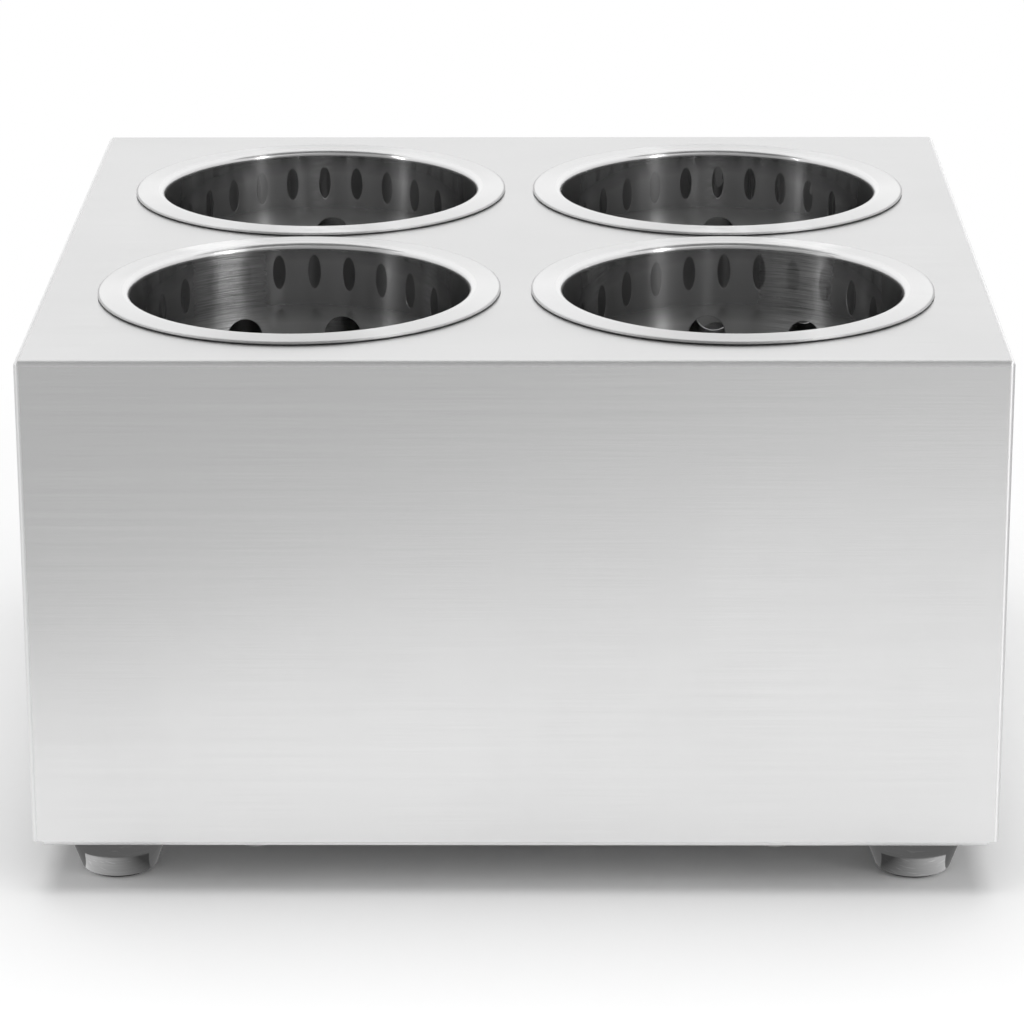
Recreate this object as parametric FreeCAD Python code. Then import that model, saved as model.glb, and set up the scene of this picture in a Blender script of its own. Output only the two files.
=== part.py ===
import FreeCAD, Part
import math
import os
from FreeCAD import Vector

# Cutlery holder: a folded steel housing on four tapered feet, with four perforated cups that hang by
# their flanges in round wells of the top panel and lift straight out.
# Millimetres. +X is to the right, the front faces -Y, +Z is up, and the floor under the feet is Z = 0.

# Cups
CUP_MOUTH_DIAMETER = 97.0
CUP_DEPTH = 125.0
CUP_TAPER_DEGREES = 1.9
CUP_SHEET = 0.7
NECK_BEND_RADIUS = 1.3
FLANGE_WIDTH = 9.0
FLANGE_FALL_DEGREES = 3.0
FLANGE_SEAT_GAP = 0.3
BOTTOM_WELD_GAP = 0.05

# Punched holes of the cups
PERFORATION_DIAMETER = 10.8
PERFORATIONS_PER_ROW = 10
PERFORATION_ROW_WEB = 6.7
PLAIN_BAND = 21.0
DRAIN_HOLES_IN_RING = 6
DRAIN_RING_WEB = 14.2

# Housing
RIM_MARGIN = 15.75
CUP_GAP_SIDEWAYS = 8.5
CUP_GAP_FRONT_TO_BACK = 3.5
CUP_UNDER_GAP = 16.0
HOUSING_SHEET = 0.8
HOUSING_BEND_RADIUS = 0.7
LIP_WIDTH = 14.0
LIP_MITRE_GAP = 0.6
CORNER_RELIEF_DIAMETER = 4.0

# Base plate and the screws that hold it to the housing's lips
BASE_SHEET = 0.8
BASE_INSET = 4.0
BASE_CORNER_RADIUS = 6.0
BASE_SCREW_DIAMETER = 4.0
BASE_SCREW_HEAD_DIAMETER = 8.0
BASE_SCREW_HEAD_HEIGHT = 1.6
BASE_SCREW_END = 1.0
BASE_SCREW_FROM_CORNER = 62.0
CLINCH_NUT_DIAMETER = 8.0
CLINCH_NUT_HEIGHT = 3.0
CLINCH_NUT_COLLAR = 0.7
CLINCH_CLEARANCE = 0.05

# Feet
FOOT_TOP_DIAMETER = 30.4
FOOT_BOTTOM_DIAMETER = 21.0
FOOT_HEIGHT = 13.2
FOOT_EDGE_RADIUS = 1.0
FOOT_THREAD_DEPTH = 8.0
FOOT_BORE_RUN_OUT = 1.0
PAD_RIM = 2.0
PAD_PROUD = 1.0
PAD_RECESS = 1.5
PAD_CLEARANCE = 0.1
FOOT_SCREW_DIAMETER = 5.0
FOOT_SCREW_HEAD_DIAMETER = 9.5
FOOT_SCREW_HEAD_HEIGHT = 3.2
WASHER_DIAMETER = 10.0
WASHER_THICKNESS = 1.0
WASHER_TO_LIP = 3.0

# Clearances that several fasteners share
THREAD_CLEARANCE = 0.05
SCREW_HOLE_CLEARANCE = 0.25

# How each cup happens to be turned in its well: the angle from straight back to a column of holes,
# positive towards the right
CUP_TURN_DEGREES = {
    "front_left": 12.0,
    "front_right": -6.5,
    "back_left": 1.0,
    "back_right": 3.0,
}

# Places worked out from the sizes above
flange_diameter = CUP_MOUTH_DIAMETER + 2 * FLANGE_WIDTH
cup_pitch_x = flange_diameter + CUP_GAP_SIDEWAYS
cup_pitch_y = flange_diameter + CUP_GAP_FRONT_TO_BACK
housing_width = cup_pitch_x + flange_diameter + 2 * RIM_MARGIN
housing_depth = cup_pitch_y + flange_diameter + 2 * RIM_MARGIN
housing_height = CUP_DEPTH + CUP_UNDER_GAP
housing_bottom = PAD_PROUD + FOOT_HEIGHT + BASE_SHEET
housing_top = housing_bottom + housing_height
base_underside = housing_bottom - BASE_SHEET
fold_radius = HOUSING_BEND_RADIUS + HOUSING_SHEET
foot_inset = LIP_WIDTH + WASHER_TO_LIP + WASHER_DIAMETER / 2
lip_middle = (BASE_INSET + LIP_WIDTH) / 2

SIDES = {"left": -1, "right": 1}
ENDS = {"front": -1, "back": 1}
UP = Vector(0, 0, 1)
FULL_TURN = 360.0


def corners(x, y):
    """The four corners of the plan, as (name, x, y)."""
    return [
        (f"{end}_{side}", x_sign * x, y_sign * y)
        for end, y_sign in ENDS.items()
        for side, x_sign in SIDES.items()
    ]


def line(start, end):
    return Part.LineSegment(start, end).toShape()


def arc(start, middle, end):
    return Part.Arc(start, middle, end).toShape()


def polyline(points):
    return [line(start, end) for start, end in zip(points, points[1:])]


def at(radius, height):
    """A point of a turned outline: its distance from the axis and its height."""
    return Vector(radius, 0, height)


def turned(edges):
    """A solid of revolution about the vertical axis from a closed outline."""
    solid = Part.Face(Part.Wire(edges)).revolve(Vector(), UP, FULL_TURN)
    return solid if solid.Volume > 0 else solid.reversed()


def rod(diameter, length, x=0.0, y=0.0, z=0.0):
    return Part.makeCylinder(diameter / 2, length, Vector(x, y, z), UP)


def ring(outer_diameter, inner_diameter, height, z=0.0):
    return rod(outer_diameter, height, z=z).cut(rod(inner_diameter, height, z=z))


def moved(shape, x, y, z):
    copy = shape.copy()
    copy.translate(Vector(x, y, z))
    return copy


def centred_box(width, depth, height, z):
    return Part.makeBox(width, depth, height, Vector(-width / 2, -depth / 2, z))


def rounded_box(width, depth, height, z, radius):
    """A box with every edge rounded, as bends round a folded box."""
    box = centred_box(width, depth, height, z)
    return box.makeFillet(radius, box.Edges)


def upright_edges(solid):
    return [e for e in solid.Edges if abs(e.tangentAt(e.FirstParameter).z) > 1 - 1e-6]


def screw_places():
    """Two base screws on each side of the housing, as (x, y)."""
    side_x = housing_width / 2 - lip_middle
    side_y = housing_depth / 2 - BASE_SCREW_FROM_CORNER
    end_x = housing_width / 2 - BASE_SCREW_FROM_CORNER
    end_y = housing_depth / 2 - lip_middle
    places = corners(side_x, side_y) + corners(end_x, end_y)
    return [(x, y) for name, x, y in places]


def foot_places():
    return corners(housing_width / 2 - foot_inset, housing_depth / 2 - foot_inset)


def cup_places():
    return corners(cup_pitch_x / 2, cup_pitch_y / 2)


# The outline of a cup's sheet, measured from the top face of the panel that carries it. The wall leans
# outwards to the neck, which bends over into a flange that falls slightly to its rounded outer edge.
taper = math.radians(CUP_TAPER_DEGREES)
fall = math.radians(FLANGE_FALL_DEGREES)
wall_normal = Vector(-math.cos(taper), 0, math.sin(taper))
flange_normal = Vector(math.sin(fall), 0, math.cos(fall))
flange_along = Vector(math.cos(fall), 0, -math.sin(fall))
neck_normal = (wall_normal + flange_normal).normalize()
neck_outer_radius = NECK_BEND_RADIUS + CUP_SHEET
neck_x = CUP_MOUTH_DIAMETER / 2 + neck_outer_radius * math.cos(taper)
edge_radius = CUP_SHEET / 2
edge_centre = at(flange_diameter / 2 - edge_radius, FLANGE_SEAT_GAP + edge_radius)
flange_length = (edge_centre.x - neck_x - (NECK_BEND_RADIUS + edge_radius) * math.sin(fall)) / math.cos(fall)
neck_centre = (
    edge_centre - flange_along * flange_length - flange_normal * (NECK_BEND_RADIUS + edge_radius)
)


def wall_radius(height):
    """The inside of the cup's wall at a height below the panel's top face."""
    start = neck_centre + wall_normal * neck_outer_radius
    return start.x - (start.z - height) * math.tan(taper)


def cup_sleeve_blank():
    """The cup's wall, neck and flange before the holes are punched."""
    inside_bottom = at(wall_radius(-CUP_DEPTH), -CUP_DEPTH)
    outside_bottom = inside_bottom + Vector(CUP_SHEET / math.cos(taper), 0, 0)
    neck_under = [neck_centre + n * NECK_BEND_RADIUS for n in (wall_normal, neck_normal, flange_normal)]
    neck_over = [neck_centre + n * neck_outer_radius for n in (flange_normal, neck_normal, wall_normal)]
    edge_under = edge_centre - flange_normal * edge_radius
    edge_tip = edge_centre + flange_along * edge_radius
    edge_over = edge_centre + flange_normal * edge_radius
    return turned([
        line(inside_bottom, outside_bottom),
        line(outside_bottom, neck_under[0]),
        arc(*neck_under),
        line(neck_under[2], edge_under),
        arc(edge_under, edge_tip, edge_over),
        line(edge_over, neck_over[0]),
        arc(*neck_over),
        line(neck_over[2], inside_bottom),
    ])


def row_heights():
    """The heights of the rows of holes, with a plain band above the first and below the last."""
    pitch = PERFORATION_DIAMETER + PERFORATION_ROW_WEB
    rows = int((CUP_DEPTH - 2 * PLAIN_BAND + PERFORATION_ROW_WEB) / pitch)
    first = -PLAIN_BAND - PERFORATION_DIAMETER / 2
    return [first - row * pitch for row in range(rows)]


def cup_sleeve(turn_degrees):
    """The rolled wall with its spun neck and flange, punched with rows of round holes in columns."""
    punches = []
    reach = 2 * PERFORATION_DIAMETER
    for height in row_heights():
        for column in range(PERFORATIONS_PER_ROW):
            angle = math.radians(turn_degrees + column * FULL_TURN / PERFORATIONS_PER_ROW)
            outwards = Vector(math.sin(angle), math.cos(angle), 0)
            start = outwards * (wall_radius(height) - reach / 2) + Vector(0, 0, height)
            punches.append(Part.makeCylinder(PERFORATION_DIAMETER / 2, reach, start, outwards))
    return cup_sleeve_blank().cut(punches)


def cup_bottom(turn_degrees):
    """The disc welded flush into the narrow end of the wall, with drain holes."""
    low = -CUP_DEPTH
    high = low + CUP_SHEET
    disc = turned(polyline([
        at(0, low),
        at(wall_radius(low) - BOTTOM_WELD_GAP, low),
        at(wall_radius(high) - BOTTOM_WELD_GAP, high),
        at(0, high),
        at(0, low),
    ]))
    drains = [rod(PERFORATION_DIAMETER, CUP_SHEET, z=low)]
    ring_radius = PERFORATION_DIAMETER + DRAIN_RING_WEB
    for hole in range(DRAIN_HOLES_IN_RING):
        angle = math.radians(turn_degrees + hole * FULL_TURN / DRAIN_HOLES_IN_RING)
        x, y = ring_radius * math.sin(angle), ring_radius * math.cos(angle)
        drains.append(rod(PERFORATION_DIAMETER, CUP_SHEET, x, y, low))
    return disc.cut(drains)


def housing_shell():
    """One folded sheet: the top panel with its wells, four walls, and lips turned in along the bottom."""
    outside = rounded_box(housing_width, housing_depth, housing_height, housing_bottom, fold_radius)
    inside = rounded_box(
        housing_width - 2 * HOUSING_SHEET,
        housing_depth - 2 * HOUSING_SHEET,
        housing_height - 2 * HOUSING_SHEET,
        housing_bottom + HOUSING_SHEET,
        HOUSING_BEND_RADIUS,
    )
    opening_width = housing_width - 2 * LIP_WIDTH
    opening_depth = housing_depth - 2 * LIP_WIDTH
    cuts = [inside, centred_box(opening_width, opening_depth, HOUSING_SHEET, housing_bottom)]
    for name, x, y in cup_places():
        cuts.append(rod(2 * neck_x, HOUSING_SHEET, x, y, housing_top - HOUSING_SHEET))
    lip_hole = CLINCH_NUT_DIAMETER - 2 * CLINCH_NUT_COLLAR + 2 * CLINCH_CLEARANCE
    for x, y in screw_places():
        cuts.append(rod(lip_hole, HOUSING_SHEET, x, y, housing_bottom))
    fold_x = housing_width / 2 - fold_radius
    fold_y = housing_depth / 2 - fold_radius
    for name, x, y in corners(fold_x, fold_y):
        cuts.append(rod(CORNER_RELIEF_DIAMETER, fold_radius, x, y, housing_bottom))
        cuts.append(mitre_cut(x, y))
    return outside.cut(cuts)


def mitre_cut(x, y):
    """The slit between two lips, from the corner relief at (x, y) diagonally in to the opening."""
    length = math.sqrt(2) * LIP_WIDTH
    slit = Part.makeBox(length, LIP_MITRE_GAP, HOUSING_SHEET, Vector(0, -LIP_MITRE_GAP / 2, 0))
    slit.rotate(Vector(), UP, math.degrees(math.atan2(-math.copysign(1, y), -math.copysign(1, x))))
    return moved(slit, x, y, housing_bottom)


def base_plate():
    """The flat cover under the lips, which carries the feet."""
    plate = centred_box(
        housing_width - 2 * BASE_INSET,
        housing_depth - 2 * BASE_INSET,
        BASE_SHEET,
        base_underside,
    )
    plate = plate.makeFillet(BASE_CORNER_RADIUS, upright_edges(plate))
    base_hole = BASE_SCREW_DIAMETER + 2 * SCREW_HOLE_CLEARANCE
    foot_hole = FOOT_SCREW_DIAMETER + 2 * SCREW_HOLE_CLEARANCE
    holes = [rod(base_hole, BASE_SHEET, x, y, base_underside) for x, y in screw_places()]
    holes += [rod(foot_hole, BASE_SHEET, x, y, base_underside) for name, x, y in foot_places()]
    return plate.cut(holes)


def pan_head_screw(shank_diameter, shank_length, head_diameter, head_height):
    """A screw whose head sits on Z = 0 and whose shank points down."""
    shank = shank_diameter / 2
    head = head_diameter / 2
    shoulder = head_height / 2
    shoulder_centre = at(head - shoulder, head_height - shoulder)
    half_way = Vector(1, 0, 1).normalize() * shoulder
    return turned([
        line(at(0, -shank_length), at(shank, -shank_length)),
        line(at(shank, -shank_length), at(shank, 0)),
        line(at(shank, 0), at(head, 0)),
        line(at(head, 0), at(head, shoulder_centre.z)),
        arc(at(head, shoulder_centre.z), shoulder_centre + half_way, at(shoulder_centre.x, head_height)),
        line(at(shoulder_centre.x, head_height), at(0, head_height)),
        line(at(0, head_height), at(0, -shank_length)),
    ])


def base_screws():
    """The screws that go up through the base plate into the clinch nuts."""
    length = BASE_SHEET + HOUSING_SHEET + CLINCH_NUT_HEIGHT + BASE_SCREW_END
    screw = pan_head_screw(
        BASE_SCREW_DIAMETER, length, BASE_SCREW_HEAD_DIAMETER, BASE_SCREW_HEAD_HEIGHT
    )
    screw.rotate(Vector(), Vector(1, 0, 0), FULL_TURN / 2)
    return Part.makeCompound([moved(screw, x, y, base_underside) for x, y in screw_places()])


def clinch_nuts():
    """The nuts pressed into the lips: a body on the lip, and a collar through its hole."""
    bore = BASE_SCREW_DIAMETER + 2 * THREAD_CLEARANCE
    collar = CLINCH_NUT_DIAMETER - 2 * CLINCH_NUT_COLLAR
    body = ring(CLINCH_NUT_DIAMETER, bore, CLINCH_NUT_HEIGHT, HOUSING_SHEET)
    nut = body.fuse(ring(collar, bore, HOUSING_SHEET)).removeSplitter()
    return Part.makeCompound([moved(nut, x, y, housing_bottom) for x, y in screw_places()])


def foot():
    """A tapered metal foot with a recess for its pad below and a tapped bore above."""
    top = FOOT_TOP_DIAMETER / 2
    low = FOOT_BOTTOM_DIAMETER / 2
    recess = low - PAD_RIM + PAD_CLEARANCE
    body = turned(polyline([
        at(0, PAD_RECESS),
        at(recess, PAD_RECESS),
        at(recess, 0),
        at(low, 0),
        at(top, FOOT_HEIGHT),
        at(0, FOOT_HEIGHT),
        at(0, PAD_RECESS),
    ]))
    lowest = [e for e in body.Edges if e.BoundBox.ZMax < 1e-6 and e.BoundBox.XMax > recess + PAD_CLEARANCE]
    body = body.makeFillet(FOOT_EDGE_RADIUS, lowest)
    bore_depth = FOOT_THREAD_DEPTH + FOOT_BORE_RUN_OUT
    bore = rod(FOOT_SCREW_DIAMETER + 2 * THREAD_CLEARANCE, bore_depth, z=FOOT_HEIGHT - bore_depth)
    return body.cut(bore)


def foot_pad():
    """The rubber disc in the foot's recess, standing a little proud."""
    diameter = FOOT_BOTTOM_DIAMETER - 2 * PAD_RIM
    return rod(diameter, PAD_PROUD + PAD_RECESS)


def foot_screw():
    length = WASHER_THICKNESS + BASE_SHEET + FOOT_THREAD_DEPTH
    return pan_head_screw(
        FOOT_SCREW_DIAMETER, length, FOOT_SCREW_HEAD_DIAMETER, FOOT_SCREW_HEAD_HEIGHT
    )


def foot_washer():
    return ring(WASHER_DIAMETER, FOOT_SCREW_DIAMETER + 2 * SCREW_HOLE_CLEARANCE, WASHER_THICKNESS)


def assembly():
    """Every piece of the holder in its place, by name."""
    pieces = {
        "housing_shell": housing_shell(),
        "base_plate": base_plate(),
        "base_screws": base_screws(),
        "clinch_nuts": clinch_nuts(),
    }
    for name, x, y in foot_places():
        pieces[f"foot_{name}"] = moved(foot(), x, y, PAD_PROUD)
        pieces[f"foot_pad_{name}"] = moved(foot_pad(), x, y, 0)
        pieces[f"foot_washer_{name}"] = moved(foot_washer(), x, y, housing_bottom)
        pieces[f"foot_screw_{name}"] = moved(foot_screw(), x, y, housing_bottom + WASHER_THICKNESS)
    for name, x, y in cup_places():
        turn = CUP_TURN_DEGREES[name]
        pieces[f"cup_sleeve_{name}"] = moved(cup_sleeve(turn), x, y, housing_top)
        pieces[f"cup_bottom_{name}"] = moved(cup_bottom(turn), x, y, housing_top)
    return pieces


os.makedirs("parts", exist_ok=True)
for piece_name, piece in assembly().items():
    piece.exportStep(f"parts/{piece_name}.step")
    print(f"{piece_name}: {len(piece.Solids)} solids, {piece.Volume:.1f} mm3, valid {piece.isValid()}")
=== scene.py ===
# %% [markdown]
# A countertop cutlery holder: a brushed steel box on four tapered feet, with four polished, perforated
# cups that hang by their flanges in round wells of the top panel. The solids come packed as a frame of
# named nodes. This lesson loads them, makes smoother pieces where metal has to reflect cleanly, gives
# every piece a procedural finish, and lights the holder as a studio would.

# %% Load the frame
import math

import bmesh
import bpy
from mathutils import Matrix, Vector


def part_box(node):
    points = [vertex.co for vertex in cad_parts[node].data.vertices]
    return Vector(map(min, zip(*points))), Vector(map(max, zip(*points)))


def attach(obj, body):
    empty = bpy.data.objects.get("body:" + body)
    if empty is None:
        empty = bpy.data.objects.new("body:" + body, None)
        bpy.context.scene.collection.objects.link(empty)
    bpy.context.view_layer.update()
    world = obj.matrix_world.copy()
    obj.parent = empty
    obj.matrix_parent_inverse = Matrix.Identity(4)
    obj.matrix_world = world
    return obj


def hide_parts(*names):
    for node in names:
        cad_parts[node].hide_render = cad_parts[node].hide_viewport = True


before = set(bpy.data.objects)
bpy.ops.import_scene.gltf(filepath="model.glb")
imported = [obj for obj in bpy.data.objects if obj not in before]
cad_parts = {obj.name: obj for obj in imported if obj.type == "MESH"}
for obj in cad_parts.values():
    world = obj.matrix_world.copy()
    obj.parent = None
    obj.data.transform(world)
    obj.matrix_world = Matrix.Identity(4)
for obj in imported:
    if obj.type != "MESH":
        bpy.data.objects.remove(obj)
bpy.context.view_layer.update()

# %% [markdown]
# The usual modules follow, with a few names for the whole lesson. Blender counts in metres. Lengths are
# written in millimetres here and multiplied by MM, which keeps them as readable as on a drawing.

MM = 0.001
FULL_TURN = 2 * math.pi
CORNERS = ["front_left", "front_right", "back_left", "back_right"]
scene = bpy.context.scene

# %% [markdown]
# The camera comes first, because every later choice is judged through it. The photograph was taken with
# a long lens from well above the rim, so the near edge of the box is only a fifth wider than the far
# one. The eye point was found by fitting the corners of the box. A level camera with a large lens shift
# would keep the uprights parallel; this one is tipped down instead, so that it still works when it is
# moved.

# %% Camera
EYE = Vector((0.0102, -1.2245, 0.4738))
PITCH_DOWN = math.radians(18.26)
YAW_LEFT = math.radians(0.513)
LEVELLING_ROLL = math.radians(0.16)
LENS_MM = 148.6

camera_data = bpy.data.cameras.new("camera")
camera_data.lens = LENS_MM
camera = bpy.data.objects.new("camera", camera_data)
camera.location = EYE
camera.rotation_euler = (math.pi / 2 - PITCH_DOWN, LEVELLING_ROLL, YAW_LEFT)
scene.collection.objects.link(camera)
scene.camera = camera
scene.view_settings.view_transform = "Standard"
print("camera looks down by", round(math.degrees(PITCH_DOWN), 1), "degrees")

# %% [markdown]
# Node trees are easier to read as formulas than as boxes and noodles. This small helper adds a node,
# feeds its sockets from numbers or from other sockets, and returns the output, so that a sum or a sine
# can be written on one line. It works in geometry trees and in shader trees alike.


# %% A helper for node trees
class Wires:
    """Adds nodes to a tree and joins them."""

    def __init__(self, tree):
        self.tree = tree

    def feed(self, socket, value):
        if isinstance(value, bpy.types.NodeSocket):
            self.tree.links.new(value, socket)
        elif value is not None:
            socket.default_value = value

    def node(self, kind, *values, **settings):
        made = self.tree.nodes.new(kind)
        for name, setting in settings.items():
            setattr(made, name, setting)
        for socket, value in zip(made.inputs, values):
            self.feed(socket, value)
        return made

    def math(self, operation, *values):
        return self.node("ShaderNodeMath", *values, operation=operation).outputs[0]

    def blend(self, start, end, share):
        """A number that goes from start to end as share goes from 0 to 1."""
        fixed = not any(isinstance(value, bpy.types.NodeSocket) for value in (start, end))
        span = end - start if fixed else self.math("SUBTRACT", end, start)
        return self.math("MULTIPLY_ADD", span, share, start)

    def ramp(self, value, from_low, from_high, to_low, to_high):
        """A number moved from one range to another, and held at its ends."""
        made = self.node("ShaderNodeMapRange", value, from_low, from_high, to_low, to_high)
        return made.outputs[0]

    def group(self, tree, **values):
        """A shader group with values for its inputs; an underscore in a name stands for a space."""
        made = self.node("ShaderNodeGroup", node_tree=tree)
        for name, value in values.items():
            self.feed(made.inputs[name.replace("_", " ").title()], value)
        return made.outputs


def new_tree(name, kind, inputs, outputs):
    """An empty tree with named sockets, given as {name: socket type}; returns its wires and its ends."""
    tree = bpy.data.node_groups.new(name, kind)
    for in_out, sockets in (("INPUT", inputs), ("OUTPUT", outputs)):
        for socket, socket_type in sockets.items():
            tree.interface.new_socket(name=socket, in_out=in_out, socket_type=socket_type)
    wires = Wires(tree)
    return tree, wires, wires.node("NodeGroupInput").outputs, wires.node("NodeGroupOutput").inputs


NUMBER = "NodeSocketFloat"
COUNT = "NodeSocketInt"
VECTOR = "NodeSocketVector"
GEOMETRY = "NodeSocketGeometry"
MATERIAL = "NodeSocketMaterial"
print("wires ready")

# %% [markdown]
# Effects that several finishes share are built once as shader groups. The first makes the fine parallel
# lines that brushing, polishing and turning leave: noise that is squeezed across the lines and
# stretched along them. Its Stretch input says how many noise cells there are in a metre in each
# direction.

# %% Shader group: machined lines
FINE_DETAIL = 4.0
FINE_ROUGHNESS = 0.65
BROAD_SCALE = 0.13
BROAD_DETAIL = 2.0
NOISE_RANGE = (0.3, 0.7)

machined_lines, wires, given, result = new_tree(
    "machined_lines", "ShaderNodeTree",
    {"Vector": VECTOR, "Stretch": VECTOR},
    {"Fine": NUMBER, "Broad": NUMBER},
)
stretched = wires.node("ShaderNodeVectorMath", given["Vector"], given["Stretch"], operation="MULTIPLY")
fine = wires.node("ShaderNodeTexNoise", stretched.outputs[0])
fine.inputs["Scale"].default_value = 1.0
fine.inputs["Detail"].default_value = FINE_DETAIL
fine.inputs["Roughness"].default_value = FINE_ROUGHNESS
broad = wires.node("ShaderNodeTexNoise", stretched.outputs[0])
broad.inputs["Scale"].default_value = BROAD_SCALE
broad.inputs["Detail"].default_value = BROAD_DETAIL
wires.feed(result["Fine"], wires.ramp(fine.outputs[0], *NOISE_RANGE, 0.0, 1.0))
wires.feed(result["Broad"], wires.ramp(broad.outputs[0], *NOISE_RANGE, 0.0, 1.0))
print("group", machined_lines.name, "made")

# %% [markdown]
# The second group is what handling leaves on bare metal: cloudy smudges where hands and cloths have
# been, and a few hairline scratches. The scratches are the same stretched noise, turned askew and cut
# off so high that only its peaks are left.

# %% Shader group: handling marks
handling_marks, wires, given, result = new_tree(
    "handling_marks", "ShaderNodeTree",
    {"Vector": VECTOR, "Smudges Per Metre": NUMBER},
    {"Smudge": NUMBER, "Scratch": NUMBER},
)
SMUDGE_DETAIL = 5.0
SMUDGE_ROUGHNESS = 0.6
SMUDGE_DISTORTION = 0.4
SMUDGE_CUT = (0.4, 0.68)
SCRATCH_DIRECTIONS = [0.5, 1.3, -0.4]
SCRATCH_STRETCH = (40.0, 1900.0, 300.0)
SCRATCH_CUT = (0.73, 0.77)

cloud = wires.node("ShaderNodeTexNoise", given["Vector"])
wires.feed(cloud.inputs["Scale"], given["Smudges Per Metre"])
cloud.inputs["Detail"].default_value = SMUDGE_DETAIL
cloud.inputs["Roughness"].default_value = SMUDGE_ROUGHNESS
cloud.inputs["Distortion"].default_value = SMUDGE_DISTORTION
wires.feed(result["Smudge"], wires.ramp(cloud.outputs[0], *SMUDGE_CUT, 0.0, 1.0))
turned = wires.node("ShaderNodeMapping", given["Vector"])
turned.inputs["Rotation"].default_value = SCRATCH_DIRECTIONS
streaks = wires.node("ShaderNodeVectorMath", turned.outputs[0], SCRATCH_STRETCH, operation="MULTIPLY")
hairs = wires.node("ShaderNodeTexNoise", streaks.outputs[0])
hairs.inputs["Scale"].default_value = 1.0
hairs.inputs["Detail"].default_value = 0.0
wires.feed(result["Scratch"], wires.ramp(hairs.outputs[0], *SCRATCH_CUT, 0.0, 1.0))
print("group", handling_marks.name, "made")

# %% [markdown]
# Brushed metal doesn't blur light evenly: it smears a reflection across its lines and keeps it fairly
# sharp along them. The Principled shader does this with Anisotropic, and needs to know which way the
# lines run: a Tangent node gives that direction, from a UV map on flat sheet and round the Z axis on
# turned pieces. Anisotropic Rotation of a quarter turn puts the smear across the lines.

# %% Helpers for metal finishes
ACROSS_THE_LINES = 0.25


def fresh_material(name):
    """A new material with its wires and its Principled shader."""
    material = bpy.data.materials.new(name)
    material.use_nodes = True
    return material, Wires(material.node_tree), material.node_tree.nodes["Principled BSDF"]


def object_place(wires):
    return wires.node("ShaderNodeTexCoord").outputs["Object"]


def grey(wires, value):
    """A neutral colour as bright as a value that changes over the surface."""
    return wires.node("ShaderNodeCombineColor", value, value, value).outputs[0]


def metal(shader, anisotropic):
    shader.inputs["Metallic"].default_value = 1.0
    shader.inputs["Anisotropic"].default_value = anisotropic
    shader.inputs["Anisotropic Rotation"].default_value = ACROSS_THE_LINES


def bump(wires, shader, height, strength, distance):
    made = wires.node("ShaderNodeBump")
    made.inputs["Strength"].default_value = strength
    made.inputs["Distance"].default_value = distance
    wires.feed(made.inputs["Height"], height)
    wires.feed(shader.inputs["Normal"], made.outputs[0])


print("finish helpers ready")

# %% [markdown]
# The housing is fine-brushed stainless sheet. Its lines run from side to side, also on the top panel, and
# are only just visible: a few per cent in brightness and roughness. They follow a UV map called brushing,
# made with the housing below, so that one material serves all of its walls. The press tool dulls the lines
# where the sheet bends, and there the colour is also painted lighter, a painted highlight along the folds.
# A point is on a fold where it is close to the box's outside in two directions at once.

# %% Finish: brushed housing sheet
HOUSING_BRIGHTNESS = (0.785, 0.825)
HOUSING_ROUGHNESS = (0.22, 0.25)
FOLD_RADIUS = 1.5 * MM
FOLD_ROUGHNESS = 0.5
# Painted highlight: the colour on the folds, lighter than the flat sheet.
FOLD_PAINTED_HIGHLIGHT = 0.95
FOLD_FULL = 0.8
HOUSING_ANISOTROPIC = 0.8
BRUSH_STRETCH = (22.0, 3400.0, 0.0)
BRUSH_STREAK = 0.008
BRUSH_BUMP = 0.06
BRUSH_DEPTH = 0.05 * MM
HOUSING_SMUDGES_PER_METRE = 14.0
HOUSING_SMUDGE_SHADE = -0.012
HOUSING_SMUDGE_DULLS = 0.02

housing_low, housing_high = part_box("housing_shell")
housing_middle = (housing_low + housing_high) / 2


def on_fold(wires):
    """1 where two outside faces of the housing meet in a fold, 0 on the flat sheet."""
    split = wires.node("ShaderNodeSeparateXYZ", object_place(wires))
    close = []
    for axis in range(3):
        away = wires.math("ABSOLUTE", wires.math("SUBTRACT", split.outputs[axis], housing_middle[axis]))
        outside = housing_high[axis] - housing_middle[axis]
        close.append(wires.ramp(away, outside - FOLD_RADIUS, outside - FOLD_FULL * FOLD_RADIUS, 0.0, 1.0))
    directions = wires.math("ADD", wires.math("ADD", close[0], close[1]), close[2])
    return wires.ramp(directions, 1.0, 2.0, 0.0, 1.0)


brushed_sheet, wires, shader = fresh_material("brushed_housing_sheet")
metal(shader, HOUSING_ANISOTROPIC)
along = wires.node("ShaderNodeUVMap", uv_map="brushing").outputs[0]
lines = wires.group(machined_lines, vector=along, stretch=BRUSH_STRETCH)
place = object_place(wires)
marks = wires.group(handling_marks, vector=place, smudges_per_metre=HOUSING_SMUDGES_PER_METRE)
brightness = wires.blend(*HOUSING_BRIGHTNESS, lines["Fine"])
soiled = wires.math("MULTIPLY_ADD", marks["Smudge"], HOUSING_SMUDGE_SHADE, brightness)
streaked = wires.math("MULTIPLY_ADD", lines["Broad"], BRUSH_STREAK, soiled)
fold_dulling_and_highlight = on_fold(wires)
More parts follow.
